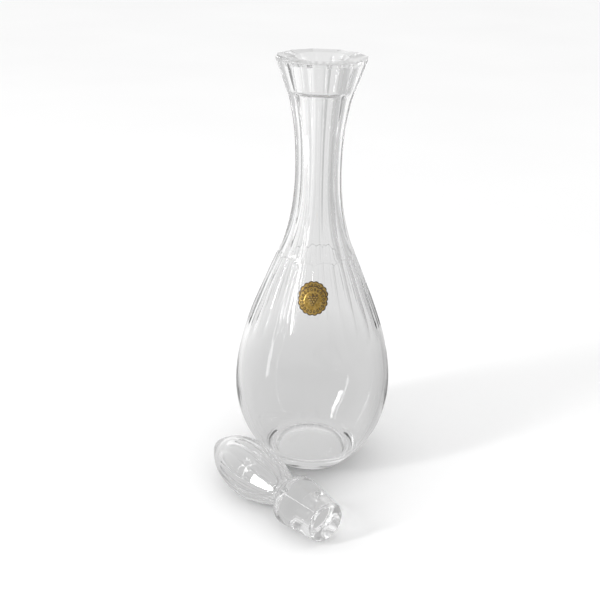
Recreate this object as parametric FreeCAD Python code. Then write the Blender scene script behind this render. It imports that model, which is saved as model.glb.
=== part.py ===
import FreeCAD, Part
import math
import os

# A cut crystal wine decanter, standing on z = 0 with its axis on +Z, and its stopper lying beside it.
# All lengths are millimetres. Profiles are lists of (height, radius).

Vec = FreeCAD.Vector
UP = Vec(0, 0, 1)
OUTWARDS = Vec(1, 0, 0)         # away from the axis, in the plane that profiles are drawn in
ORIGIN = Vec(0, 0, 0)

# ---- bottle ----
HEIGHT = 290.0          # foot to rim
BASE_RADIUS = 26.2      # flat ground foot
NECK_PANELS = 12        # broad flat cuts down the neck
SHOULDER_FLUTES = 24    # narrow shallow cuts below them
FIRST_RIDGE = -18.0     # degrees from the front, of the neck's ridge nearest to it
SOCKET_FLOOR = 269.5    # height where the ground socket ends in a sloping ledge
LEDGE_DROP = 2.0
MOUTH_CHAMFER = 2.6
SOCKET_FLOOR_RADIUS = 13.45
MOUTH_RADIUS = 17.6     # opening at the rim
BORE_RADIUS = 10.3      # bore just below the ledge
FLOOR_HEIGHT = 15.0     # top of the glass under the cavity, on the axis

# blown blank before cutting
BODY_SKIN = [(0, BASE_RADIUS), (8, 34.2), (20, 43.5), (38, 51.5), (62, 54.6), (90, 50.9), (118, 42.4),
             (142, 32.8), (157, 26.8), (172, 21.9), (190, 18.1), (210, 16.3), (228, 16.6), (246, 18.3),
             (264, 22.4)]
RIM_SKIN_RADIUS = 32.0  # blank at the rim, outside every panel
# distance of the neck's flat panels from the axis: out through the skin at the shoulder, in along the neck
PANEL_CURVE = [(153, 28.8), (158, 25.4), (164, 23.0), (174, 20.2), (190, 17.15), (208, 15.6), (226, 15.65),
               (244, 17.0), (254, 18.6), (264, 20.6)]
RIM_PANEL_DISTANCE = 29.9
# how deep the narrow flutes go below the skin, along the shoulder
FLUTE_DEPTHS = [(160.5, -0.5), (157, 0.32), (150, 0.42), (136, 0.48), (120, 0.45), (106, 0.22), (94, -0.25)]
# shallow hollow ground into the foot, inside the ring that the bottle stands on
FOOT_RECESS = [(5.0, 0), (4.4, 11), (3.1, 18.6), (1.5, 22.8), (0, 24.4)]
# cavity, from its slightly domed floor through the groove round it to the foot of the bore
CAVITY = [(FLOOR_HEIGHT, 0), (14.8, 6), (14.4, 13), (13.7, 20), (12.6, 26), (11.7, 29.3), (11.6, 31.2),
          (12.6, 33.2), (16, 36.6), (24, 41.8), (36, 47.0), (60, 51.3), (90, 47.7), (118, 38.8), (142, 28.6),
          (154, 22.3), (164, 17.6), (176, 13.2), (192, 10.0), (214, 8.8), (238, 9.2),
          (SOCKET_FLOOR - LEDGE_DROP, BORE_RADIUS)]

# ---- stopper, along its own axis from the end of the plug to the tip ----
TAPER = math.radians(7.0)        # half angle of the ground plug and socket
PLUG_END_RADIUS = 13.4
PLUG_BEVEL = 1.6
CONE_LENGTH = 30.5
PLUG_RADIUS = PLUG_END_RADIUS + CONE_LENGTH * math.tan(TAPER)
WAIST_AT = 42.0
WAIST_RADIUS = 10.2
STOPPER_SHOULDER = [(35.0, 16.4), (38.5, 13.0), (WAIST_AT, WAIST_RADIUS)]
BELLY_AT = 80.0
BELLY_RADIUS = 19.2
STOPPER_LENGTH = 121.0
FINIAL_SKIN = [(WAIST_AT, WAIST_RADIUS), (50, 12.9), (64, 17.5), (BELLY_AT, BELLY_RADIUS), (94, 17.7),
               (106, 13.3), (115, 7.6)]
FINIAL_FLUTES = 12
FINIAL_CUTS = [(40, 9.5), (50, 12.3), (64, 16.8), (BELLY_AT, 18.5), (92, 17.6), (102, 16.2)]
FINIAL_HOLLOW = [(53, 5.2), (64, 12.6), (BELLY_AT, 15.9), (94, 14.5), (106, 10.1), (113, 5.2)]
HOLLOW_START = 50.0
HOLLOW_END = 116.5

# ---- where the stopper lies, on its belly and the wide end of its plug ----
LYING_AT = (-39.0, -60.0)        # belly centre seen from above
LYING_TURN = -50.0               # degrees about Z from +X to the way the plug points

# ---- foil seals on the front of the shoulder ----
SEAL_RADIUS = 10.1
SEAL_SCALLOPS = 16
SCALLOP_DEPTH = 0.75
SEAL_THICKNESS = 0.3
SEAL_HEIGHTS = {"upper_seal": 134.3, "lower_seal": 137.2}
SEAL_TURNS = {"upper_seal": -1.85, "lower_seal": -1.6}   # degrees from the front
SEAL_BLANK = 16.0                # length of the straight blank that a seal is cut from

# ---- cutting tools ----
ABOVE = 1.0              # how far tools stand out past the rim or the foot
CUTTER_REACH = 60.0      # outer side of a cutter that leaves a flat
CUTTER_WIDTH = 40.0


def curve(points, start_tangent=None):
    """A smooth edge in the XZ plane through (height, radius) points."""
    spline = Part.BSplineCurve()
    places = [Vec(r, 0, z) for z, r in points]
    if start_tangent is None:
        spline.interpolate(places)
    else:
        spline.interpolate(Points=places, InitialTangent=start_tangent, FinalTangent=places[-1] - places[-2])
    return spline.toShape()


def line(a, b):
    """A straight edge between two (height, radius) points."""
    return Part.makeLine(Vec(a[1], 0, a[0]), Vec(b[1], 0, b[0]))


def lathe(edges):
    """Turn a closed outline in the XZ plane about the Z axis."""
    face = Part.Face(Part.Wire(edges))
    return face.revolve(ORIGIN, UP, 360)


def skin_solid(extra=0.0):
    """The bottle's uncut outside as a full solid, optionally grown sideways."""
    body = [(z, r + extra) for z, r in BODY_SKIN]
    rim = (HEIGHT, RIM_SKIN_RADIUS + extra)
    return lathe([line((0, 0), body[0]), curve(body), line(body[-1], rim), line(rim, (HEIGHT, 0)),
                  line((HEIGHT, 0), (0, 0))])


def flat_cutters(edges, low, high, count, first):
    """Cutters that leave `count` flats; edges run up the flat from low to high, both (height, distance)."""
    outer_high = (high[0], CUTTER_REACH)
    outer_low = (low[0], CUTTER_REACH)
    outline = edges + [line(high, outer_high), line(outer_high, outer_low), line(outer_low, low)]
    face = Part.Face(Part.Wire(outline))
    face.translate(Vec(0, -CUTTER_WIDTH / 2, 0))
    one = face.extrude(Vec(0, CUTTER_WIDTH, 0))
    cutters = []
    for i in range(count):
        cutter = one.copy()
        cutter.rotate(ORIGIN, UP, first + 360.0 * i / count)
        cutters.append(cutter)
    return cutters


def cut_all(solid, cutters):
    for cutter in cutters:
        solid = solid.cut(cutter)
    return solid


def skin_radius(height):
    """Radius of the uncut bottle at a height on its shoulder."""
    spline = curve(BODY_SKIN).Curve
    low, high = spline.FirstParameter, spline.LastParameter
    for _ in range(40):
        middle = (low + high) / 2
        if spline.value(middle).z < height:
            low = middle
        else:
            high = middle
    return spline.value(low).x


def front_angle(from_front):
    """Angle about Z of a direction given in degrees from the front (-Y), positive to the right."""
    return from_front - 90.0


def bottle():
    solid = skin_solid()
    flare = (RIM_PANEL_DISTANCE - PANEL_CURVE[-1][1]) / (HEIGHT - PANEL_CURVE[-1][0])
    top = (HEIGHT + ABOVE, RIM_PANEL_DISTANCE + flare * ABOVE)
    panel_edges = [curve(PANEL_CURVE), line(PANEL_CURVE[-1], top)]
    panel_turn = front_angle(FIRST_RIDGE + 180.0 / NECK_PANELS)
    solid = cut_all(solid, flat_cutters(panel_edges, PANEL_CURVE[0], top, NECK_PANELS, panel_turn))
    flutes = [(z, skin_radius(z) - depth) for z, depth in reversed(FLUTE_DEPTHS)]
    flute_turn = front_angle(FIRST_RIDGE + 180.0 / SHOULDER_FLUTES)
    solid = cut_all(solid, flat_cutters([curve(flutes)], flutes[0], flutes[-1], SHOULDER_FLUTES, flute_turn))
    return solid.cut(bottle_hollow()).cut(foot_hollow())


def bottle_hollow():
    """Cavity, bore, sloping ledge, ground socket and the chamfer at the mouth, in one turned solid."""
    floor = CAVITY[0]
    cavity = curve(CAVITY, start_tangent=OUTWARDS * 6)
    ledge = (SOCKET_FLOOR, SOCKET_FLOOR_RADIUS)
    chamfer_at = HEIGHT - MOUTH_CHAMFER
    socket_top = (chamfer_at, SOCKET_FLOOR_RADIUS + (chamfer_at - SOCKET_FLOOR) * math.tan(TAPER))
    mouth = (HEIGHT, MOUTH_RADIUS)
    above = (HEIGHT + ABOVE, MOUTH_RADIUS + ABOVE)
    return lathe([cavity, line(CAVITY[-1], ledge), line(ledge, socket_top), line(socket_top, mouth),
                  line(mouth, above), line(above, (above[0], 0)), line((above[0], 0), floor)])


def foot_hollow():
    """The shallow hollow under the foot."""
    top, edge = FOOT_RECESS[0], FOOT_RECESS[-1]
    under_edge = (-ABOVE, edge[1])
    under_top = (-ABOVE, 0)
    dome = curve(FOOT_RECESS, start_tangent=OUTWARDS * 11)
    return lathe([dome, line(edge, under_edge), line(under_edge, under_top), line(under_top, top)])


def stopper_upright():
    """The stopper standing on the end of its plug, with its tip up."""
    bevelled = PLUG_END_RADIUS - PLUG_BEVEL
    bevel_top = PLUG_END_RADIUS + PLUG_BEVEL * math.tan(TAPER)
    cone_top = (CONE_LENGTH, PLUG_RADIUS)
    shoulder = curve([cone_top] + STOPPER_SHOULDER,
                     start_tangent=Vec(4 * math.sin(TAPER), 0, 4 * math.cos(TAPER)))
    tip = (STOPPER_LENGTH, 0)
    finial = curve_to_tip(FINIAL_SKIN, tip)
    solid = lathe([line((0, 0), (0, bevelled)), line((0, bevelled), (PLUG_BEVEL, bevel_top)),
                   line((PLUG_BEVEL, bevel_top), cone_top), shoulder, finial, line(tip, (0, 0))])
    turn = 180.0 / FINIAL_FLUTES
    cutters = flat_cutters([curve(FINIAL_CUTS)], FINIAL_CUTS[0], FINIAL_CUTS[-1], FINIAL_FLUTES, turn)
    solid = cut_all(solid, cutters)
    end = (HOLLOW_END, 0)
    start = (HOLLOW_START, 0)
    hollow_curve = curve_to_tip([start] + FINIAL_HOLLOW, end, OUTWARDS * 10)
    return solid.cut(lathe([hollow_curve, line(end, start)]))


def curve_to_tip(points, tip, start_tangent=None):
    """A smooth edge that ends square to the axis at the tip."""
    places = [Vec(r, 0, z) for z, r in points + [tip]]
    spline = Part.BSplineCurve()
    first = start_tangent if start_tangent else (places[1] - places[0])
    spline.interpolate(Points=places, InitialTangent=first, FinalTangent=OUTWARDS * -8)
    return spline.toShape()


def stopper():
    """The stopper lying on a flat of its finial's belly and the widest part of its plug."""
    belly_flat = dict(FINIAL_CUTS)[BELLY_AT]
    tilt = math.asin((belly_flat - PLUG_RADIUS) / (BELLY_AT - CONE_LENGTH))
    solid = stopper_upright()
    solid.rotate(ORIGIN, UP, 180.0 / FINIAL_FLUTES)
    solid.translate(Vec(0, 0, -BELLY_AT))
    solid.rotate(ORIGIN, Vec(0, 1, 0), -90.0 + math.degrees(tilt))
    solid.rotate(ORIGIN, UP, LYING_TURN)
    solid.translate(Vec(LYING_AT[0], LYING_AT[1], 0))
    solid.translate(Vec(0, 0, -solid.optimalBoundingBox().ZMin))
    return solid


def seal_outline():
    """A scalloped ring of arcs in the XZ plane about the origin."""
    arcs = []
    for i in range(SEAL_SCALLOPS):
        a, b, c = [2 * math.pi * (i + part) / SEAL_SCALLOPS for part in (0, 0.5, 1)]
        inner = SEAL_RADIUS - SCALLOP_DEPTH
        ends = [Vec(inner * math.cos(t), 0, inner * math.sin(t)) for t in (a, c)]
        crest = Vec(SEAL_RADIUS * math.cos(b), 0, SEAL_RADIUS * math.sin(b))
        arcs.append(Part.Arc(ends[0], crest, ends[1]).toShape())
    return Part.Wire(arcs)


def seal(name, lift):
    """A thin foil disc that follows the shoulder, `lift` above the uncut skin."""
    height = SEAL_HEIGHTS[name]
    radius = skin_radius(height)
    slope = math.degrees(math.atan((skin_radius(height - 5) - skin_radius(height + 5)) / 10))
    block = Part.Face(seal_outline()).extrude(Vec(0, SEAL_BLANK, 0))
    block.translate(Vec(0, -SEAL_BLANK / 2, 0))
    block.rotate(ORIGIN, Vec(1, 0, 0), -slope)
    block.translate(Vec(0, -radius, height))
    block.rotate(ORIGIN, UP, SEAL_TURNS[name])
    return block.common(skin_solid(lift + SEAL_THICKNESS)).cut(skin_solid(lift))


def main():
    os.makedirs("parts", exist_ok=True)
    nodes = {
        "bottle": bottle(),
        "stopper": stopper(),
        "lower_seal": seal("lower_seal", 0.0),
        "upper_seal": seal("upper_seal", SEAL_THICKNESS),
    }
    for name, shape in nodes.items():
        solid = shape.Solids[0]
        solid.exportStep(f"parts/{name}.step")
        box = solid.BoundBox
        print(name, "valid", solid.isValid(), "solids", len(shape.Solids), f"volume {solid.Volume:.0f} mm3")
        print(f"    x {box.XMin:.1f}..{box.XMax:.1f}  y {box.YMin:.1f}..{box.YMax:.1f}")
        print(f"    z {box.ZMin:.2f}..{box.ZMax:.2f}")


main()
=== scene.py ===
import math
import bpy
import numpy as np
from mathutils import Matrix, Vector


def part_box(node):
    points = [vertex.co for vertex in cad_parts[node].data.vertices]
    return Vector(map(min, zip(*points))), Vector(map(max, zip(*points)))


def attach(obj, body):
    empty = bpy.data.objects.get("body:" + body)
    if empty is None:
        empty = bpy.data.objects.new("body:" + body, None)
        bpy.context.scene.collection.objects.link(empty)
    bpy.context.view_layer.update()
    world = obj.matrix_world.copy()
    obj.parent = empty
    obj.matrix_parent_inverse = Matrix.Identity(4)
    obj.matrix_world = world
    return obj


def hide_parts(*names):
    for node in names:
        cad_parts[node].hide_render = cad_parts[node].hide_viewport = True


# A cut crystal wine decanter with two foil seals, its stopper lying beside it.
# Shapes are worked out in millimetres in the row frame and written to Blender in metres.
# Profiles are lists of (height, radius), as in the CAD source.

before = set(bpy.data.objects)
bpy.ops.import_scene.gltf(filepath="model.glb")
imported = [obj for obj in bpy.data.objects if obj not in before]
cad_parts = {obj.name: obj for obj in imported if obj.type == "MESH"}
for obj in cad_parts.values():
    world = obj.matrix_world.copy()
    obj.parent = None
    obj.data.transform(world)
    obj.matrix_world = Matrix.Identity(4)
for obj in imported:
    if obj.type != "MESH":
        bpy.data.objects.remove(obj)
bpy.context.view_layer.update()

MM = 0.001
FRONT = -90.0                     # angle about Z of the front, degrees

# ---- camera ----
CAMERA_AT = (0.0, -0.750, 0.419)  # metres
CAMERA_PITCH = math.radians(21.719)
CAMERA_YAW = math.radians(0.7785)
CAMERA_ROLL = math.radians(1.5095)
CAMERA_LENS = 69.15               # mm, on a sensor 36 mm wide
CAMERA_SENSOR = 36.0

# ---- bottle ----
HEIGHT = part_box("bottle")[1].z / MM
FOOT_RADIUS = 26.2
# the blown blank before it is cut, up to where the mouth flares
SKIN = [(0, FOOT_RADIUS), (8, 34.2), (20, 43.5), (38, 51.5), (62, 54.6), (90, 50.9), (118, 42.4),
        (142, 32.8), (157, 26.8), (172, 21.9), (190, 18.1), (210, 16.3), (228, 16.6), (246, 18.3),
        (264, 22.4)]
RIM_SKIN_RADIUS = 32.0
NECK_PANELS = 12
# distance of the neck's panels from the axis
PANELS = [(153, 28.8), (158, 25.4), (164, 23.0), (174, 20.2), (190, 17.15), (208, 15.6), (226, 15.65),
          (244, 17.0), (254, 18.6), (264, 20.6)]
RIM_PANEL_DISTANCE = 29.9
FLARE_AT, FLARE_SKIN_RADIUS = SKIN[-1]
FLARE_PANEL_DISTANCE = PANELS[-1][1]
SHOULDER_FLUTES = 24
# how deep the flutes go below the blank
FLUTE_DEPTHS = [(94, -0.25), (106, 0.22), (120, 0.45), (136, 0.48), (150, 0.42), (157, 0.32), (160.5, -0.5)]
FIRST_RIDGE = -18.0               # degrees from the front
RIDGE = math.radians(FRONT + FIRST_RIDGE)
# shallow hollow ground into the foot, and the rounded edge round it
FOOT_RECESS = [(5.0, 0), (4.4, 11), (3.1, 18.6), (1.5, 22.8), (0, 24.4)]
FOOT_EDGE = [(0, 25.6), (0.1, 26.15)]
CAVITY = [(15.0, 0), (14.8, 6), (14.4, 13), (13.7, 20), (12.6, 26), (11.7, 29.3), (11.6, 31.2), (12.6, 33.2),
          (16, 36.6), (24, 41.8), (36, 47.0), (60, 51.3), (90, 47.7), (118, 38.8), (142, 28.6), (154, 22.3),
          (164, 17.6), (176, 13.2), (192, 10.0), (214, 8.8), (238, 9.2), (267.5, 10.3)]
SOCKET_FLOOR = (269.5, 13.45)     # height, radius
CHAMFER = 2.6
MOUTH_RADIUS = 17.6
TAPER = math.radians(7.0)         # of the socket and the plug, each side

# ---- how the cuts are ground ----
PANEL_ROUNDING = 0.012            # of a ridge, as a share of its distance from the axis
FLUTE_ROUNDING = 0.0022
CREASE = 0.05                     # rounding where one cut runs into another, mm
SCOOP_POWER = 6                   # how closely a cut's turned-up edge keeps to its ridge
PANEL_SCOOP = 0.12                # how far a cut's middle is ground below its ridges, mm
FLUTE_SCOOP = 0.35
FINIAL_SCOOP = 0.3
FLUTE_FADE = (98, 126)            # heights between which the flutes' scoop grows from none to full
CUTS_MEET = (153.5, 160.5)        # heights that the flutes' upper ends lie between
CUTS_MEET_RINGS = (152.5, 165)    # heights between which the mesh follows that line
LINE_DEPTH = 0.4                  # of the fine line ground along it, mm
LINE_HALF = 0.45
HALVINGS = 40                     # steps of the search for it
BESIDE_RIDGE = [0, 0.023, 0.06, 0.13, 0.25, 0.375, 0.5, 0.625, 0.75, 0.87, 0.94, 0.977]

# ---- stopper, along its own axis from the end of the plug ----
PLUG_END_RADIUS = 13.4
PLUG_BEVEL = 1.6
CONE_LENGTH = 30.5
PLUG_RADIUS = PLUG_END_RADIUS + CONE_LENGTH * math.tan(TAPER)
STOPPER_SHOULDER = [(35.0, 16.4), (38.5, 13.0), (42.0, 10.2)]
FINIAL_SKIN = [(42.0, 10.2), (50, 12.9), (64, 17.5), (80, 19.2), (94, 17.7), (106, 13.3), (115, 7.6),
               (121, 0)]
FINIAL_FLUTES = 12
# distance of the finial's flutes from its axis
FINIAL_CUTS = [(40, 9.5), (50, 12.3), (64, 16.8), (80, 18.5), (92, 17.6), (102, 16.2)]
FINIAL_TIP_AT = 104               # the tip beyond this is left round
# sealed bubble inside the finial
FINIAL_HOLLOW = [(50, 0), (53, 5.2), (64, 12.6), (80, 15.9), (94, 14.5), (106, 10.1), (113, 5.2), (116.5, 0)]
BELLY_AT = 80.0
LYING_AT = (-39.0, -60.0)
LYING_TURN = math.radians(-50.0)

# ---- foil seals ----
SEAL_RADIUS = 10.1
SEAL_SCALLOPS = 16
SCALLOP_DEPTH = 0.75
FOIL = 0.3
FOIL_GAP = 0.02                   # keeps the foil's two faces off the skin and off each other
MIDDLE_RELIEF = 0.1               # embossed height of the seal's middle point
# height on the shoulder, turn about the axis in degrees, lift off the skin
SEALS = {"lower_seal": (137.2, -1.6, 0.0), "upper_seal": (134.3, -1.85, FOIL)}
PRINTED_EDGE = 0.7                # width of the dark print along the scallops
EDGE_BEAD_INSET = 0.75
OVALS = 20                        # ring of printed ovals
OVALS_RADIUS = 7.4
OVAL_HALF = 1.05
BEAD_RADIUS = 5.5                 # embossed line inside the ovals
BERRY_RADIUS = 0.95
BERRY_STEP = (1.75, 1.5)          # between berries in a row, and between rows
BERRIES_TOP = 2.1
LEAF_AT = (1.5, 3.9)
LEAF_HALVES = (1.7, 0.7)
SLOPE_SPAN = 5                    # either side of the seal's middle, where the shoulder's slope is taken
STEPS_TO_SKIN = 12

# ---- room ----
# Painted greys standing in for a lit room, glowing from the floor and shown by the world to glass rays: one
# for how far back the place or direction lies, times one for how far it lies to the side as a share of its
# distance. They are darker to the front and to the right, as painted shade.
PAINTED_TONES_FRONT_TO_BACK = [(-1.0, 0.35), (-0.1, 0.60), (0.0, 0.72), (0.2, 0.82), (0.3, 0.95), (1.0, 0.99)]
PAINTED_TONES_LEFT_TO_RIGHT = [(-1.0, 1.08), (-0.30, 1.08), (-0.12, 0.88), (0.12, 0.88), (0.30, 0.60), (1.0, 0.60)]
SIDE_NEAR = 0.35                  # added to the distance, so that the sides fade out near the bottle
FLOOR_RADIUS = 6.0                # metres
FLOOR_DROP = 0.0002
FLOOR_CORNERS = 96
BOUNCES = 32                      # thick glass turns black with few


# ================= curves =================

def spline(knots, values, start=None, end=None):
    """A cubic spline through values at rising knots, as a function. start and end are its slopes there."""
    x = np.asarray(knots, float)
    y = np.asarray(values, float)
    h = np.diff(x)
    n = len(x)
    rows = np.zeros((n, n))
    right = np.zeros(n)
    for i in range(1, n - 1):
        rows[i, i - 1:i + 2] = h[i - 1], 2 * (h[i - 1] + h[i]), h[i]
        right[i] = 6 * ((y[i + 1] - y[i]) / h[i] - (y[i] - y[i - 1]) / h[i - 1])
    rows[0, 0] = rows[-1, -1] = 1
    if start is not None:
        rows[0, :2] = 2 * h[0], h[0]
        right[0] = 6 * ((y[1] - y[0]) / h[0] - start)
    if end is not None:
        rows[-1, -2:] = h[-1], 2 * h[-1]
        right[-1] = 6 * (end - (y[-1] - y[-2]) / h[-1])
    bend = np.linalg.solve(rows, right)

    def at(t):
        t = np.asarray(t, float)
        i = np.clip(np.searchsorted(x, t) - 1, 0, n - 2)
        a = x[i + 1] - t
        b = t - x[i]
        w = h[i]
        return ((bend[i] * a ** 3 + bend[i + 1] * b ** 3) / (6 * w)
                + (y[i] / w - bend[i] * w / 6) * a + (y[i + 1] / w - bend[i + 1] * w / 6) * b)
    return at


def height_curve(points):
    """Radius as a smooth function of height through (height, radius) points."""
    return spline([p[0] for p in points], [p[1] for p in points])


def trace(points, count, start=(None, None), end=(None, None)):
    """`count` evenly spread (height, radius) places along a smooth line through the points."""
    p = np.asarray(points, float)
    run = np.concatenate([[0], np.cumsum(np.hypot(*np.diff(p, axis=0).T))])
    t = np.linspace(0, run[-1], count)
    return np.column_stack([spline(run, p[:, k], start[k], end[k])(t) for k in (0, 1)])


def soft_min(a, b, width):
    """The lesser of a and b, with the corner between them rounded over `width`."""
    near = np.maximum(width - np.abs(a - b), 0) / width
    return np.minimum(a, b) - near * near * width / 4


def from_centre(angles, count, first_centre):
    """Angle between each place and the middle of its cut, for `count` cuts round a piece."""
    step = 2 * math.pi / count
    return np.abs((angles - first_centre + step / 2) % step - step / 2)


def around_flats(angles, count, first_centre, rounding):
    """How much further out than the flat's centre each angle lies on `count` flats, with rounded ridges."""
    off = from_centre(angles, count, first_centre)
    return 1 / -soft_min(-np.cos(off), -np.cos(2 * math.pi / count - off), rounding)


def scooped(angles, count, first_centre):
    """1 over the middle of a cut with a turned-up edge, falling to 0 at its ridges."""
    return 1 - (from_centre(angles, count, first_centre) * count / math.pi) ** SCOOP_POWER


# ================= meshes =================

def ring_angles(ridges, first, offsets):
    """Angles round a piece, closer together beside each ridge; offsets are shares of the way to the next."""
    step = 2 * math.pi / ridges
    return np.concatenate([first + step * (i + np.asarray(offsets)) for i in range(ridges)])


def turned(angles, heights, radii):
    """Rings of points: heights and radii are per ring, or per ring and angle."""
    heights = np.asarray(heights, float)
    radii = np.asarray(radii, float)
    shape = (len(heights), len(angles))
    z = np.broadcast_to(heights if heights.ndim == 2 else heights[:, None], shape)
    r = np.broadcast_to(radii if radii.ndim == 2 else radii[:, None], shape)
    return np.stack([r * np.cos(angles), r * np.sin(angles), z], axis=-1)


def shell(rings, first_pole, last_pole):
    """Points and faces of a closed skin over rings of points, with a point at each end."""
    count, around = rings.shape[:2]
    points = np.concatenate([rings.reshape(-1, 3), [first_pole, last_pole]])
    here = np.arange(around)
    after = (here + 1) % around
    faces = []
    for i in range(count - 1):
        low, high = i * around, (i + 1) * around
        faces += np.column_stack([low + here, low + after, high + after, high + here]).tolist()
    last = (count - 1) * around
    pole = count * around
    faces += np.column_stack([np.full(around, pole), after, here]).tolist()
    faces += np.column_stack([last + here, last + after, np.full(around, pole + 1)]).tolist()
    return points, faces


def make_piece(name, shells, materials, body, node, material_of_face=None):
    """One smooth Blender object in metres from (points, faces) pairs in millimetres, riding on a body."""
    points = np.concatenate([p for p, _ in shells])
    faces = []
    base = 0
    for p, f in shells:
        faces += [[base + k for k in face] for face in f]
        base += len(p)
    mesh = bpy.data.meshes.new(name)
    mesh.from_pydata((points * MM).tolist(), [], faces)
    for material in materials:
        mesh.materials.append(material)
    if material_of_face is not None:
        mesh.polygons.foreach_set("material_index", material_of_face)
    mesh.polygons.foreach_set("use_smooth", np.ones(len(faces), bool))
    mesh.update()
    piece = bpy.data.objects.new(name, mesh)
    bpy.context.scene.collection.objects.link(piece)
    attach(piece, body)
    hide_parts(node)


# ================= materials =================

def new_material(name):
    """A node material with its nodes, its links and its main shader."""
    material = bpy.data.materials.new(name)
    material.use_nodes = True
    nodes = material.node_tree.nodes
    return material, nodes, material.node_tree.links, nodes["Principled BSDF"]


def noise_into(nodes, links, coordinates, scale, detail, low, high):
    """A noise texture spread from low to high."""
    noise = nodes.new("ShaderNodeTexNoise")
    noise.inputs["Scale"].default_value = scale
    noise.inputs["Detail"].default_value = detail
    links.new(coordinates, noise.inputs["Vector"])
    spread = nodes.new("ShaderNodeMapRange")
    spread.inputs["From Min"].default_value = 0.3
    spread.inputs["From Max"].default_value = 0.7
    spread.inputs["To Min"].default_value = low
    spread.inputs["To Max"].default_value = high
    links.new(noise.outputs["Fac"], spread.inputs["Value"])
    return noise.outputs["Fac"], spread.outputs["Result"]


def bump_from(nodes, links, height, distance):
    """A surface that rises by `distance`, in metres, where height is 1."""
    bump = nodes.new("ShaderNodeBump")
    bump.inputs["Distance"].default_value = distance
    bump.inputs["Strength"].default_value = 1.0
    links.new(height, bump.inputs["Height"])
    return bump.outputs["Normal"]


def mixed_colour(nodes, links, share, first, second):
    """From the first colour where share is 0 to the second where it is 1."""
    blend = nodes.new("ShaderNodeMix")
    blend.data_type = "RGBA"
    blend.inputs["A"].default_value = first
    blend.inputs["B"].default_value = second
    links.new(share, blend.inputs["Factor"])
    return blend.outputs["Result"]


def glass_material():
    """Polished crystal: faintly grey, with the slow waviness of blown glass and a trace of handling."""
    material, nodes, links, shader = new_material("polished_crystal")
    shader.inputs["Base Color"].default_value = (0.98, 0.98, 0.98, 1)
    shader.inputs["Transmission Weight"].default_value = 1.0
    shader.inputs["IOR"].default_value = 1.52
    place = nodes.new("ShaderNodeTexCoord").outputs["Object"]
    _, smudge = noise_into(nodes, links, place, scale=60, detail=4, low=0.0, high=0.012)
    links.new(smudge, shader.inputs["Roughness"])
    wave, _ = noise_into(nodes, links, place, scale=22, detail=1, low=0, high=1)
    links.new(bump_from(nodes, links, wave, 0.00012), shader.inputs["Normal"])
    return material


def foil_material():
    """Embossed gold foil, finely crinkled."""
    material, nodes, links, shader = new_material("gold_foil")
    place = nodes.new("ShaderNodeTexCoord").outputs["Object"]
    fine, share = noise_into(nodes, links, place, scale=900, detail=3, low=0, high=1)
    colour = mixed_colour(nodes, links, share, (0.58, 0.34, 0.06, 1), (0.95, 0.68, 0.24, 1))
    links.new(colour, shader.inputs["Base Color"])
    shader.inputs["Metallic"].default_value = 1.0
    _, rough = noise_into(nodes, links, place, scale=400, detail=2, low=0.24, high=0.42)
    links.new(rough, shader.inputs["Roughness"])
    links.new(bump_from(nodes, links, fine, 0.0002), shader.inputs["Normal"])
    return material


def ink_material():
    """Dark brown print on the foil."""
    material, nodes, links, shader = new_material("dark_print")
    place = nodes.new("ShaderNodeTexCoord").outputs["Object"]
    fine, share = noise_into(nodes, links, place, scale=700, detail=3, low=0, high=1)
    colour = mixed_colour(nodes, links, share, (0.022, 0.012, 0.008, 1), (0.10, 0.06, 0.03, 1))
    links.new(colour, shader.inputs["Base Color"])
    shader.inputs["Roughness"].default_value = 0.35
    links.new(bump_from(nodes, links, fine, 0.0001), shader.inputs["Normal"])
    return material


def painted_glow_in_glass(nodes, links, direction):
    """Painted grey glow that the glass shows: darker towards the front, and from left to right, as painted
    shade.
    """
    split = nodes.new("ShaderNodeSeparateXYZ")
    links.new(direction, split.inputs["Vector"])
    distance = nodes.new("ShaderNodeVectorMath")
    distance.operation = "LENGTH"
    links.new(direction, distance.inputs[0])
    spread = nodes.new("ShaderNodeMath")
    spread.operation = "ADD"
    spread.inputs[1].default_value = SIDE_NEAR
    links.new(distance.outputs["Value"], spread.inputs[0])
    sideways = nodes.new("ShaderNodeMath")
    sideways.operation = "DIVIDE"
    links.new(split.outputs["X"], sideways.inputs[0])
    links.new(spread.outputs["Value"], sideways.inputs[1])
    product = nodes.new("ShaderNodeMix")
    product.data_type = "RGBA"
    product.blend_type = "MULTIPLY"
    product.inputs["Factor"].default_value = 1.0
    # the two painted shade ramps, front to back and left to right, multiplied together
    scales = ((split.outputs["Y"], PAINTED_TONES_FRONT_TO_BACK, "A"), (sideways.outputs["Value"], PAINTED_TONES_LEFT_TO_RIGHT, "B"))
    for source, tones, socket in scales:
        along = nodes.new("ShaderNodeMapRange")
        along.inputs["From Min"].default_value = -1.0
        along.inputs["From Max"].default_value = 1.0
        links.new(source, along.inputs["Value"])
        ramp = nodes.new("ShaderNodeValToRGB")
        while len(ramp.color_ramp.elements) < len(tones):
            ramp.color_ramp.elements.new(0.5)
        for element, (position, value) in zip(ramp.color_ramp.elements, tones):
            element.position = (position + 1) / 2
            element.color = (value, value, value, 1)
        links.new(along.outputs["Result"], ramp.inputs["Fac"])
        links.new(ramp.outputs["Color"], product.inputs[socket])
    return product.outputs["Result"]


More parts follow.
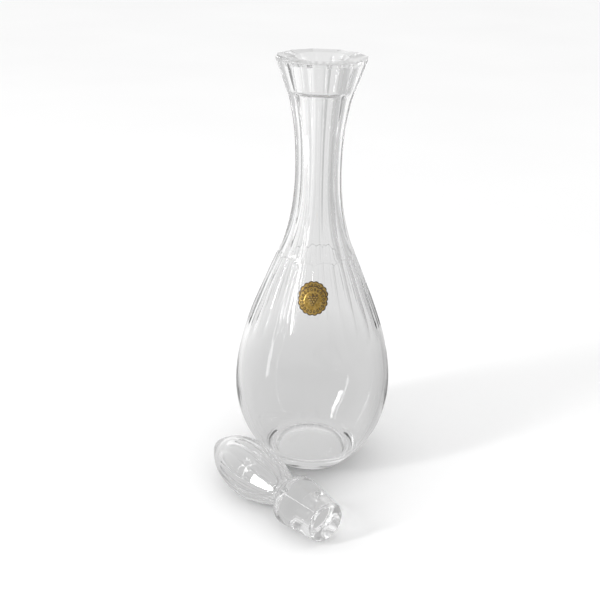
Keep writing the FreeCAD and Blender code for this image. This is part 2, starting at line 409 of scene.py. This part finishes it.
def floor_material():
    """Pale and even where it is seen itself; to all other rays it glows with the painted greys, a painted
    reflection with no real shadow in it.
    """
    material, nodes, links, shader = new_material("pale_floor_painted_glow")
    place = nodes.new("ShaderNodeTexCoord").outputs["Object"]
    _, pale = noise_into(nodes, links, place, scale=3, detail=2, low=0.9, high=0.92)
    links.new(pale, shader.inputs["Base Color"])
    shader.inputs["Roughness"].default_value = 0.9
    # painted glow: the floor emits the painted greys to every ray that is not the camera's
    glow = nodes.new("ShaderNodeEmission")
    links.new(painted_glow_in_glass(nodes, links, place), glow.inputs["Color"])
    show = nodes.new("ShaderNodeMixShader")
    links.new(nodes.new("ShaderNodeLightPath").outputs["Is Camera Ray"], show.inputs["Fac"])
    links.new(glow.outputs["Emission"], show.inputs[1])
    links.new(shader.outputs["BSDF"], show.inputs[2])
    links.new(show.outputs["Shader"], nodes["Material Output"].inputs["Surface"])
    return material


# ================= bottle =================

skin = height_curve(SKIN)
panels = height_curve(PANELS)
flute_depth = height_curve(FLUTE_DEPTHS)


def flared(heights, start, end):
    """A straight line from `start`, where the mouth begins to flare, to `end` at the rim."""
    return start + (end - start) * (heights - FLARE_AT) / (HEIGHT - FLARE_AT)


def outer_radius(angles, heights, part):
    """Radius of the cut glass outside. part is 'neck' above the flutes' upper ends, or 'body' below them."""
    uncut = np.where(heights <= FLARE_AT, skin(np.minimum(heights, FLARE_AT)),
                     flared(heights, FLARE_SKIN_RADIUS, RIM_SKIN_RADIUS))
    if part == "neck":
        flat = np.where(heights <= FLARE_AT, panels(np.clip(heights, PANELS[0][0], FLARE_AT)),
                        flared(heights, FLARE_PANEL_DISTANCE, RIM_PANEL_DISTANCE))
        centre = RIDGE + math.pi / NECK_PANELS
        cut = flat * around_flats(angles, NECK_PANELS, centre, PANEL_ROUNDING)
        cut = cut - PANEL_SCOOP * scooped(angles, NECK_PANELS, centre)
    else:
        lowest, highest = FLUTE_DEPTHS[0][0], FLUTE_DEPTHS[-1][0]
        flat = uncut - flute_depth(np.clip(heights, lowest, highest))
        centre = RIDGE + math.pi / SHOULDER_FLUTES
        cut = flat * around_flats(angles, SHOULDER_FLUTES, centre, FLUTE_ROUNDING)
        grown = np.clip((heights - FLUTE_FADE[0]) / (FLUTE_FADE[1] - FLUTE_FADE[0]), 0, 1)
        cut = cut - FLUTE_SCOOP * grown * scooped(angles, SHOULDER_FLUTES, centre)
        cut = np.where(heights < lowest, uncut + 1, cut)
    return soft_min(uncut, cut, CREASE)


def ring_where_cuts_meet(angles):
    """Height at each angle where the neck's panels run into the shoulder's flutes."""
    low = np.full(len(angles), CUTS_MEET[0])
    high = np.full(len(angles), CUTS_MEET[1])
    for _ in range(HALVINGS):
        middle = (low + high) / 2
        neck_wins = outer_radius(angles, middle, "neck") < outer_radius(angles, middle, "body")
        low = np.where(neck_wins, low, middle)
        high = np.where(neck_wins, middle, high)
    return (low + high) / 2


def bottle_rings(angles):
    """Rings from the foot's hollow up the outside, over the rim and down the inside to the floor."""
    meeting = ring_where_cuts_meet(angles)
    ring_from, ring_to = CUTS_MEET_RINGS
    lower = np.concatenate([[0.35, 0.9, 2], np.linspace(4, 148, 73), [150.5, ring_from]])
    to_ring = np.array([0.35, 0.65, 0.85])
    below = np.concatenate([np.broadcast_to(lower[:, None], (len(lower), len(angles))),
                            ring_from + to_ring[:, None] * (meeting - LINE_HALF - ring_from)])
    line = meeting + LINE_HALF * np.linspace(-1, 1, 9)[:, None]
    line_radii = np.minimum(outer_radius(angles, line, "body"), outer_radius(angles, line, "neck"))
    line_radii -= LINE_DEPTH * (1 + np.cos(math.pi * (line - meeting) / LINE_HALF)) / 2
    upper = np.concatenate([[ring_to, 167.5], np.linspace(170, 262, 47),
                            [263.2, 263.8, 264.2, 264.8],
                            np.linspace(266.5, 288, 12), [289.0, 289.55]])
    from_ring = np.array([0.15, 0.35, 0.65])
    above = np.concatenate([meeting + LINE_HALF + from_ring[:, None] * (ring_to - meeting - LINE_HALF),
                            np.broadcast_to(upper[:, None], (len(upper), len(angles)))])
    recess = trace(FOOT_RECESS, 30, start=(0.0, 1.0))[1:]
    foot = np.concatenate([recess, FOOT_EDGE])
    rim = outer_radius(angles, np.full(len(angles), HEIGHT), "neck")
    mouth = np.full(len(angles), MOUTH_RADIUS)
    drops, rim_radii = zip((0.16, rim - 0.1), (0.03, rim - 0.3), (0, rim - 0.6), (0, (rim + mouth) / 2),
                           (0, mouth + 0.3), (0.05, mouth + 0.04))
    inside = inner_profile()
    return np.concatenate([
        turned(angles, foot[:, 0], foot[:, 1]),
        turned(angles, below, outer_radius(angles, below, "body")),
        turned(angles, line, line_radii),
        turned(angles, above, outer_radius(angles, above, "neck")),
        turned(angles, HEIGHT - np.array(drops), rim_radii),
        turned(angles, inside[:, 0], inside[:, 1])])


def inner_profile():
    """(height, radius) from the mouth down through the socket, bore and cavity to the floor."""
    chamfer_foot = HEIGHT - CHAMFER
    socket_top = SOCKET_FLOOR[1] + (chamfer_foot - SOCKET_FLOOR[0]) * math.tan(TAPER)
    slope = (MOUTH_RADIUS - socket_top) / CHAMFER
    mouth = [(HEIGHT - s, MOUTH_RADIUS - slope * s) for s in (0.15, 0.5, 1.3, 2.2, 2.5)]
    socket = [(z, SOCKET_FLOOR[1] + (z - SOCKET_FLOOR[0]) * math.tan(TAPER))
              for z in (287.3, 287.0, 284, 280, 276, 273, 271, 270.2, 269.8)]
    ledge = [(269.52, 13.3), (269.35, 13.05), (268.95, 12.4), (268.35, 11.4), (267.8, 10.7), (267.55, 10.42)]
    cavity = trace(CAVITY, 220, start=(0.0, 1.0))[1:-1][::-1]
    return np.array(mouth + socket + ledge + cavity.tolist())


def make_bottle(glass):
    """One closed skin, outside and inside, that turns over at the rim."""
    angles = ring_angles(SHOULDER_FLUTES, RIDGE, BESIDE_RIDGE)
    skin_of_glass = shell(bottle_rings(angles), (0, 0, FOOT_RECESS[0][0]), (0, 0, CAVITY[0][0]))
    make_piece("bottle_glass", [skin_of_glass], [glass], "decanter", "bottle")


# ================= stopper =================

def stopper_shells():
    """The stopper standing on its plug: outside skin, and the closed hollow in its finial."""
    angles = ring_angles(FINIAL_FLUTES, 0.0, BESIDE_RIDGE)
    bevel_top = PLUG_END_RADIUS + PLUG_BEVEL * math.tan(TAPER)
    end = PLUG_END_RADIUS - PLUG_BEVEL
    plug = [(0, 6), (0, 10), (0, end - 0.35), (0.08, end), (0.3, end + 0.3), (0.8, end + 0.9),
            (1.4, bevel_top - 0.2), (1.75, bevel_top + 0.02)]
    cone = [(s, PLUG_END_RADIUS + s * math.tan(TAPER)) for s in (2.3, 6, 10, 14, 18, 22, 26, 29)]
    corner = [(CONE_LENGTH, PLUG_RADIUS)] + STOPPER_SHOULDER
    shoulder = trace(corner, 16, start=(math.cos(TAPER), math.sin(TAPER)))
    finial = trace(FINIAL_SKIN, 90, end=(0.0, -1.0))[:-1]
    along, uncut = finial[:, 0][:, None], finial[:, 1][:, None]
    cut = height_curve(FINIAL_CUTS)(np.clip(along, FINIAL_CUTS[0][0], FINIAL_CUTS[-1][0]))
    centre = math.pi / FINIAL_FLUTES
    flats = around_flats(angles, FINIAL_FLUTES, centre, PANEL_ROUNDING / 2)
    scoop = FINIAL_SCOOP * scooped(angles, FINIAL_FLUTES, centre)
    cut_radius = soft_min(uncut, cut * flats - scoop, CREASE)
    cut_radius = np.where(along > FINIAL_TIP_AT, uncut, cut_radius)
    profile = np.array(plug + cone + shoulder[:-1].tolist())
    rings = np.concatenate([turned(angles, profile[:, 0], profile[:, 1]),
                            turned(angles, finial[:, 0], cut_radius)])
    outside = shell(rings, (0, 0, 0), (0, 0, FINIAL_SKIN[-1][0]))
    hollow = trace(FINIAL_HOLLOW, 60, start=(0.0, 1.0), end=(0.0, -1.0))[1:-1][::-1]
    inside = shell(turned(angles, hollow[:, 0], hollow[:, 1]), (0, 0, FINIAL_HOLLOW[-1][0]),
                   (0, 0, FINIAL_HOLLOW[0][0]))
    return [outside, inside]


def lay_down(points):
    """Move points of the upright stopper to where it lies, on its belly and the wide end of its plug."""
    belly = dict(FINIAL_CUTS)[BELLY_AT]
    tilt = math.asin((belly - PLUG_RADIUS) / (BELLY_AT - CONE_LENGTH))
    place = (Matrix.Translation((LYING_AT[0], LYING_AT[1], 0))
             @ Matrix.Rotation(LYING_TURN, 4, "Z")
             @ Matrix.Rotation(-math.pi / 2 + tilt, 4, "Y")
             @ Matrix.Translation((0, 0, -BELLY_AT))
             @ Matrix.Rotation(math.pi / FINIAL_FLUTES, 4, "Z"))
    place = np.array(place)
    return points @ place[:3, :3].T + place[:3, 3]


def make_stopper(glass):
    """Laid down, and set exactly on the surface that it lies on."""
    shells = [(lay_down(points), faces) for points, faces in stopper_shells()]
    lowest = shells[0][0][:, 2].min()
    shells = [(points - (0, 0, lowest), faces) for points, faces in shells]
    make_piece("stopper_glass", shells, [glass], "loose_stopper", "stopper")


# ================= foil seals =================

def bead(distance, half_width, raised):
    """Height of a rounded embossed line at distances from its middle."""
    return raised * np.exp(-(distance / half_width) ** 2)


def seal_relief(x, y):
    """Embossed height in mm and whether it is printed dark, at places on the flat seal."""
    radius = np.hypot(x, y)
    angle = np.arctan2(y, x)
    inset = seal_edge(angle) - radius
    height = bead(inset - EDGE_BEAD_INSET, 0.3, 0.12)
    ink = inset < PRINTED_EDGE
    # ring of ovals: `oval` is 0 at the centre of each and 1 at its outline
    along = (angle / (2 * math.pi) * OVALS) % 1 - 0.5
    oval = np.hypot(along * 3.0, (radius - OVALS_RADIUS) / OVAL_HALF)
    height += 0.14 * np.clip(1.2 - oval, 0, 0.5)
    ink |= (oval > 0.42) & (oval < 1.0)
    height += bead(radius - BEAD_RADIUS, 0.18, 0.14)
    # bunch of grapes with a leaf and a stalk
    for bx, by in berries():
        away = np.hypot(x - bx, y - by)
        height += 0.26 * np.sqrt(np.clip(1 - (away / BERRY_RADIUS) ** 2, 0, 1))
        ink |= (away > 0.62) & (away < 1.12)
    leaf = np.hypot((x - LEAF_AT[0]) / LEAF_HALVES[0], (y - LEAF_AT[1]) / LEAF_HALVES[1])
    height += 0.14 * np.clip(1 - leaf, 0, 1)
    ink |= (leaf > 0.65) & (leaf < 1.15)
    ink |= (np.abs(x + 0.25 * (y - 3.2)) < 0.32) & (y > 2.6) & (y < 4.8)
    return height, ink


def berries():
    """Centres of ten berries hanging in a bunch, four in the top row."""
    across, down = BERRY_STEP
    return [(across * (k - (row - 1) / 2), BERRIES_TOP - down * (4 - row))
            for row in (4, 3, 2, 1) for k in range(row)]


def seal_edge(angle):
    """Radius of the scalloped edge: a ring of outward arcs."""
    lobe = (angle / (2 * math.pi) * SEAL_SCALLOPS) % 1
    return SEAL_RADIUS - SCALLOP_DEPTH * (2 * lobe - 1) ** 2


def on_shoulder(x, y, lift, height, turn):
    """Put places on the flat seal onto the bottle's skin, `lift` mm above it."""
    radius = float(skin(height))
    narrowing = float(skin(height - SLOPE_SPAN)) - float(skin(height + SLOPE_SPAN))
    slope = math.atan(narrowing / (2 * SLOPE_SPAN))
    cosine, sine = math.cos(-slope), math.sin(-slope)
    depth = np.zeros_like(x)
    for _ in range(STEPS_TO_SKIN):
        py = -radius + cosine * depth - sine * y
        pz = height + sine * depth + cosine * y
        gap = np.hypot(x, py) - (skin(pz) + lift)
        depth += gap / math.cos(slope)
    spin = np.identity(3)
    turn = math.radians(turn)
    spin[:2, :2] = [[math.cos(turn), -math.sin(turn)], [math.sin(turn), math.cos(turn)]]
    return np.stack([x, py, pz], axis=-1) @ spin.T


def make_seal(name, foil, ink):
    """A foil disc wrapped on the shoulder: its embossed face, and its plain back."""
    height, turn, lift = SEALS[name]
    around, rings = 20 * SEAL_SCALLOPS, 60
    angles = np.arange(around) * 2 * math.pi / around
    share = np.linspace(0, 1, rings + 1)[1:]
    radii = share[:, None] * seal_edge(angles)
    x, y = radii * np.cos(angles), radii * np.sin(angles)
    relief, dark = seal_relief(x, y)
    relief[-1] = 0
    front = on_shoulder(x, y, lift + FOIL - FOIL_GAP + relief, height, turn)
    back_share = np.array([1.0, 0.8, 0.5, 0.2])
    bx, by = (back_share[:, None] * seal_edge(angles) * f(angles) for f in (np.cos, np.sin))
    back = on_shoulder(bx, by, np.full(bx.shape, lift + FOIL_GAP), height, turn)
    middle = np.zeros(1)
    front_pole = on_shoulder(middle, middle, lift + FOIL + MIDDLE_RELIEF, height, turn)[0]
    back_pole = on_shoulder(middle, middle, lift + FOIL_GAP, height, turn)[0]
    points, faces = shell(np.concatenate([front, back]), front_pole, back_pole)
    printed = np.zeros(len(faces), np.int32)
    printed[:(rings - 1) * around] = (dark[:-1] & dark[1:]).ravel()
    make_piece(name + "_foil", [(points, faces)], [foil, ink], "decanter", name, printed)


# ================= set =================

def make_camera():
    """Turned by its yaw, tipped down by its pitch, then rolled about its own line of sight."""
    forward = Vector((-math.sin(CAMERA_YAW) * math.cos(CAMERA_PITCH),
                      math.cos(CAMERA_YAW) * math.cos(CAMERA_PITCH),
                      -math.sin(CAMERA_PITCH)))
    level = Vector((math.cos(CAMERA_YAW), math.sin(CAMERA_YAW), 0))
    above = level.cross(forward)
    right = math.cos(CAMERA_ROLL) * level + math.sin(CAMERA_ROLL) * above
    up = -math.sin(CAMERA_ROLL) * level + math.cos(CAMERA_ROLL) * above
    data = bpy.data.cameras.new("camera")
    data.lens = CAMERA_LENS
    data.sensor_width = CAMERA_SENSOR
    data.clip_start = 0.01
    camera = bpy.data.objects.new("camera", data)
    camera.matrix_world = Matrix.Translation(CAMERA_AT) @ Matrix((right, up, -forward)).transposed().to_4x4()
    bpy.context.scene.collection.objects.link(camera)
    bpy.context.scene.camera = camera


def make_floor():
    """A wide disc just under the foot."""
    angles = np.arange(FLOOR_CORNERS) * 2 * math.pi / FLOOR_CORNERS
    points = [(FLOOR_RADIUS * math.cos(a), FLOOR_RADIUS * math.sin(a), -FLOOR_DROP) for a in angles]
    mesh = bpy.data.meshes.new("floor")
    mesh.from_pydata(points, [], [list(range(FLOOR_CORNERS))])
    mesh.materials.append(floor_material())
    floor = bpy.data.objects.new("floor", mesh)
    bpy.context.scene.collection.objects.link(floor)


def soft_light(name, place, target, width, height, power):
    """A rectangular lamp at a place, in metres, facing its target; power in watts."""
    data = bpy.data.lights.new(name, "AREA")
    data.shape = "RECTANGLE"
    data.size = width
    data.size_y = height
    data.energy = power
    light = bpy.data.objects.new(name, data)
    light.location = place
    light.rotation_euler = (Vector(target) - Vector(place)).to_track_quat("-Z", "Y").to_euler()
    bpy.context.scene.collection.objects.link(light)


def make_light():
    """A tall window on the left, a thin strip nearer the neck, and a room that is pale to the camera and
    shows painted greys in the glass.
    """
    soft_light("window", (-1.1, -0.75, 0.75), target=(0, 0, 0.14), width=0.16, height=0.7, power=8)
    soft_light("strip", (-0.36, -0.155, 0.23), target=(0, 0, 0.23), width=0.014, height=0.42, power=0.1)
    world = bpy.data.worlds.new("room")
    bpy.context.scene.world = world
    world.use_nodes = True
    nodes, links = world.node_tree.nodes, world.node_tree.links
    background = nodes["Background"]
    background.inputs["Color"].default_value = (1, 1, 1, 1)
    background.inputs["Strength"].default_value = 1.05
    # painted reflection: glossy and transmission rays see the painted greys instead of the white that lights
    # the scene
    in_glass = nodes.new("ShaderNodeBackground")
    direction = nodes.new("ShaderNodeTexCoord").outputs["Generated"]
    links.new(painted_glow_in_glass(nodes, links, direction), in_glass.inputs["Color"])
    path = nodes.new("ShaderNodeLightPath")
    by_glass = nodes.new("ShaderNodeMath")
    by_glass.operation = "MAXIMUM"
    links.new(path.outputs["Is Glossy Ray"], by_glass.inputs[0])
    links.new(path.outputs["Is Transmission Ray"], by_glass.inputs[1])
    show = nodes.new("ShaderNodeMixShader")
    links.new(by_glass.outputs["Value"], show.inputs["Fac"])
    links.new(background.outputs["Background"], show.inputs[1])
    links.new(in_glass.outputs["Background"], show.inputs[2])
    links.new(show.outputs["Shader"], nodes["World Output"].inputs["Surface"])


def make_all():
    """The four pieces, the floor, the lights and the camera."""
    glass = glass_material()
    foil, ink = foil_material(), ink_material()
    make_bottle(glass)
    make_stopper(glass)
    for name in SEALS:
        make_seal(name, foil, ink)
    make_floor()
    make_light()
    make_camera()
    scene = bpy.context.scene
    scene.view_settings.view_transform = "Standard"
    scene.cycles.max_bounces = BOUNCES
    scene.cycles.transmission_bounces = BOUNCES
    scene.cycles.glossy_bounces = BOUNCES


make_all()
